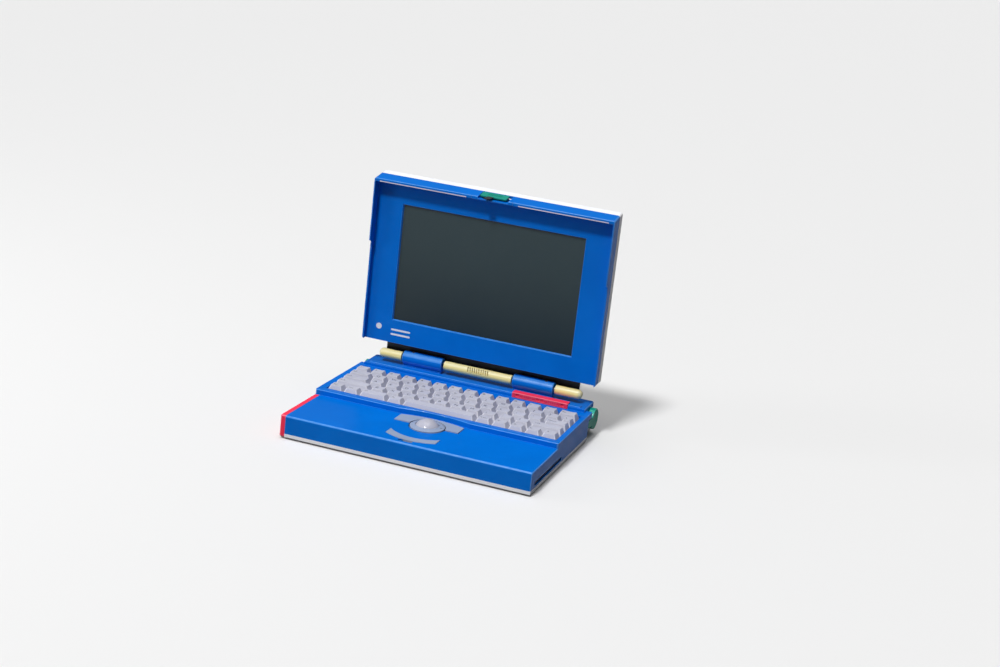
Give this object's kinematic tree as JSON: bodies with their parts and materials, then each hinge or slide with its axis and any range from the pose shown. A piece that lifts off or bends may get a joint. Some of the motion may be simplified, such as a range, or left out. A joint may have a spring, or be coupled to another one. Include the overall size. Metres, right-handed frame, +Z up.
{
  "type": "notebook computer",
  "caption": "Colourful notebook computer with a hinged display lid, sliding latch, keyboard, trackball with curved buttons, side battery, tilt feet and a rear port door.",
  "frame": {"origin": "on the table, under the centre of the base", "axes": "+X to the user's right along the hinge, +Y from the front edge to the rear, +Z up"},
  "size_m": [0.286, 0.236, 0.2598],
  "materials": {
    "blue_case": "satin",
    "white_case": "satin",
    "red_case": "satin",
    "green_trim": "satin",
    "yellow_roll": "satin",
    "grey_key": "matte",
    "grey_trim": "satin",
    "dark_plastic": "matte",
    "pale_strip": "matte",
    "foot_rubber": "matte",
    "dark_metal": "matte",
    "steel": "brushed",
    "aluminium": "satin",
    "glass": "semi-gloss",
    "light_guide": "gloss",
    "board": "satin"
  },
  "bodies": {
    "base": {"bottom_case": "white_case", "top_case": "blue_case", "rubber_feet": "foot_rubber", "case_screws": "steel", "key_plate": "aluminium", "key_switches": "dark_plastic", "flat_cables": "board", "trackball_housing": "dark_plastic", "trackball_board": "board", "left_hinge_cover": "blue_case", "right_hinge_cover": "blue_case", "hinge_clutches": "steel", "clutch_screws": "steel", "control_bar": "red_case", "port_connectors": "dark_plastic", "logic_board": "board", "processor_board": "board", "hard_disk": "aluminium", "floppy_drive": "aluminium", "speaker": "dark_plastic"},
    "lid": {"lid_bezel": "blue_case", "lid_back_cover": "white_case", "lcd_panel": "glass", "lcd_frame": "steel", "backlight_unit": "light_guide", "lid_boards": "board", "rim_strips": "pale_strip", "hinge_bracket": "dark_metal", "hinge_shafts": "steel", "left_hinge_roll": "yellow_roll", "centre_hinge_roll": "yellow_roll", "right_hinge_roll": "yellow_roll", "latch_spring": "steel"},
    "latch": {"latch_slide": "green_trim"},
    "battery": {"battery_cover": "red_case", "battery_pack": "dark_plastic"},
    "ball": {"trackball": "grey_trim"},
    "ring": {"trackball_ring": "grey_trim"},
    "fore_aft_roller": {"fore_aft_roller": "dark_plastic"},
    "side_roller": {"side_roller": "dark_plastic"},
    "upper_button": {"upper_button": "grey_trim"},
    "lower_button": {"lower_button": "grey_trim"},
    "contrast": {"contrast_slider": "red_case"},
    "brightness": {"brightness_slider": "red_case"},
    "left_foot": {"left_tilt_foot": "green_trim"},
    "right_foot": {"right_tilt_foot": "green_trim"},
    "port_door": {"port_door": "blue_case"},
    "power_button": {"power_button": "blue_case"},
    "space_bar": {"space_bar": "grey_key"},
    "left_shift_key": {"left_shift_key": "grey_key"},
    "right_shift_key": {"right_shift_key": "grey_key"},
    "caps_lock_key": {"caps_lock_key": "grey_key"},
    "return_key": {"return_key": "grey_key"},
    "tab_key": {"tab_key": "grey_key"},
    "delete_key": {"delete_key": "grey_key"},
    "key_row_1": {"key_row_1": "grey_key"},
    "key_row_2": {"key_row_2": "grey_key"},
    "key_row_3": {"key_row_3": "grey_key"},
    "key_row_4": {"key_row_4": "grey_key"},
    "key_row_5": {"key_row_5": "grey_key"}
  },
  "joints": [
    {"name": "lid_hinge", "type": "hinge", "parent": "base", "child": "lid", "pos_m": [0, 0.0986, 0.0466], "axis": [-1, 0, 0], "range_deg": [-90, 45]},
    {"name": "latch_slide", "type": "slide", "parent": "lid", "child": "latch", "axis": [1, 0, 0], "range_m": [0, 0.004], "stiffness_N_per_m": 200, "springref_m": -0.002, "deforming": ["latch_spring"]},
    {"name": "battery_slide", "type": "slide", "parent": "base", "child": "battery", "axis": [-1, 0, 0], "range_m": [0, 0.1]},
    {"name": "left_foot_turn", "type": "hinge", "parent": "base", "child": "left_foot", "pos_m": [-0.1396, 0.1058, 0.0196], "axis": [1, 0, 0], "range_deg": [0, 90]},
    {"name": "right_foot_turn", "type": "hinge", "parent": "base", "child": "right_foot", "pos_m": [0.1396, 0.1058, 0.0196], "axis": [1, 0, 0], "range_deg": [0, 90]},
    {"name": "port_door_turn", "type": "hinge", "parent": "base", "child": "port_door", "pos_m": [0, 0.1167, 0.0084], "axis": [-1, 0, 0], "range_deg": [0, 90]},
    {"name": "power_press", "type": "slide", "parent": "base", "child": "power_button", "axis": [0, -1, 0], "range_m": [0, 0.0015], "stiffness_N_per_m": 400, "springref_m": -0.0005},
    {"name": "contrast_slide", "type": "slide", "parent": "base", "child": "contrast", "axis": [1, 0, 0], "range_m": [-0.004, 0.004]},
    {"name": "brightness_slide", "type": "slide", "parent": "base", "child": "brightness", "axis": [1, 0, 0], "range_m": [-0.004, 0.004]},
    {"name": "space_bar_press", "type": "slide", "parent": "base", "child": "space_bar", "axis": [0, 0, -1], "range_m": [0, 0.0025], "stiffness_N_per_m": 220, "springref_m": -0.001},
    {"name": "left_shift_key_press", "type": "slide", "parent": "base", "child": "left_shift_key", "axis": [0, 0, -1], "range_m": [0, 0.0025], "stiffness_N_per_m": 220, "springref_m": -0.001},
    {"name": "right_shift_key_press", "type": "slide", "parent": "base", "child": "right_shift_key", "axis": [0, 0, -1], "range_m": [0, 0.0025], "stiffness_N_per_m": 220, "springref_m": -0.001},
    {"name": "caps_lock_key_press", "type": "slide", "parent": "base", "child": "caps_lock_key", "axis": [0, 0, -1], "range_m": [0, 0.0025], "stiffness_N_per_m": 220, "springref_m": -0.001},
    {"name": "return_key_press", "type": "slide", "parent": "base", "child": "return_key", "axis": [0, 0, -1], "range_m": [0, 0.0025], "stiffness_N_per_m": 220, "springref_m": -0.001},
    {"name": "tab_key_press", "type": "slide", "parent": "base", "child": "tab_key", "axis": [0, 0, -1], "range_m": [0, 0.0025], "stiffness_N_per_m": 220, "springref_m": -0.001},
    {"name": "delete_key_press", "type": "slide", "parent": "base", "child": "delete_key", "axis": [0, 0, -1], "range_m": [0, 0.0025], "stiffness_N_per_m": 220, "springref_m": -0.001},
    {"name": "key_row_1_press", "type": "slide", "parent": "base", "child": "key_row_1", "axis": [0, 0, -1], "range_m": [0, 0.0025], "stiffness_N_per_m": 400, "springref_m": -0.001},
    {"name": "key_row_2_press", "type": "slide", "parent": "base", "child": "key_row_2", "axis": [0, 0, -1], "range_m": [0, 0.0025], "stiffness_N_per_m": 400, "springref_m": -0.001},
    {"name": "key_row_3_press", "type": "slide", "parent": "base", "child": "key_row_3", "axis": [0, 0, -1], "range_m": [0, 0.0025], "stiffness_N_per_m": 400, "springref_m": -0.001},
    {"name": "key_row_4_press", "type": "slide", "parent": "base", "child": "key_row_4", "axis": [0, 0, -1], "range_m": [0, 0.0025], "stiffness_N_per_m": 400, "springref_m": -0.001},
    {"name": "key_row_5_press", "type": "slide", "parent": "base", "child": "key_row_5", "axis": [0, 0, -1], "range_m": [0, 0.0025], "stiffness_N_per_m": 400, "springref_m": -0.001},
    {"name": "ball_spin", "type": "hinge", "parent": "base", "child": "ball", "pos_m": [0.0015, -0.0565, 0.0204], "axis": [1, 0, 0], "continuous": true},
    {"name": "ring_turn", "type": "hinge", "parent": "base", "child": "ring", "pos_m": [0.0015, -0.0565, 0.0245], "axis": [0, 0, 1], "range_deg": [0, 20]},
    {"name": "fore_aft_roller_spin", "type": "hinge", "parent": "base", "child": "fore_aft_roller", "pos_m": [0.0015, -0.0738, 0.0204], "axis": [1, 0, 0], "continuous": true},
    {"name": "side_roller_spin", "type": "hinge", "parent": "base", "child": "side_roller", "pos_m": [0.0188, -0.0565, 0.0204], "axis": [0, 1, 0], "continuous": true},
    {"name": "upper_button_press", "type": "slide", "parent": "base", "child": "upper_button", "axis": [0, 0, -1], "range_m": [0, 0.0008], "stiffness_N_per_m": 500, "springref_m": -0.0006},
    {"name": "lower_button_press", "type": "slide", "parent": "base", "child": "lower_button", "axis": [0, 0, -1], "range_m": [0, 0.0008], "stiffness_N_per_m": 500, "springref_m": -0.0006}
  ],
  "couplings": [
    {"joint": "fore_aft_roller_spin", "follows": "ball_spin", "ratio": -7.5}
  ]
}
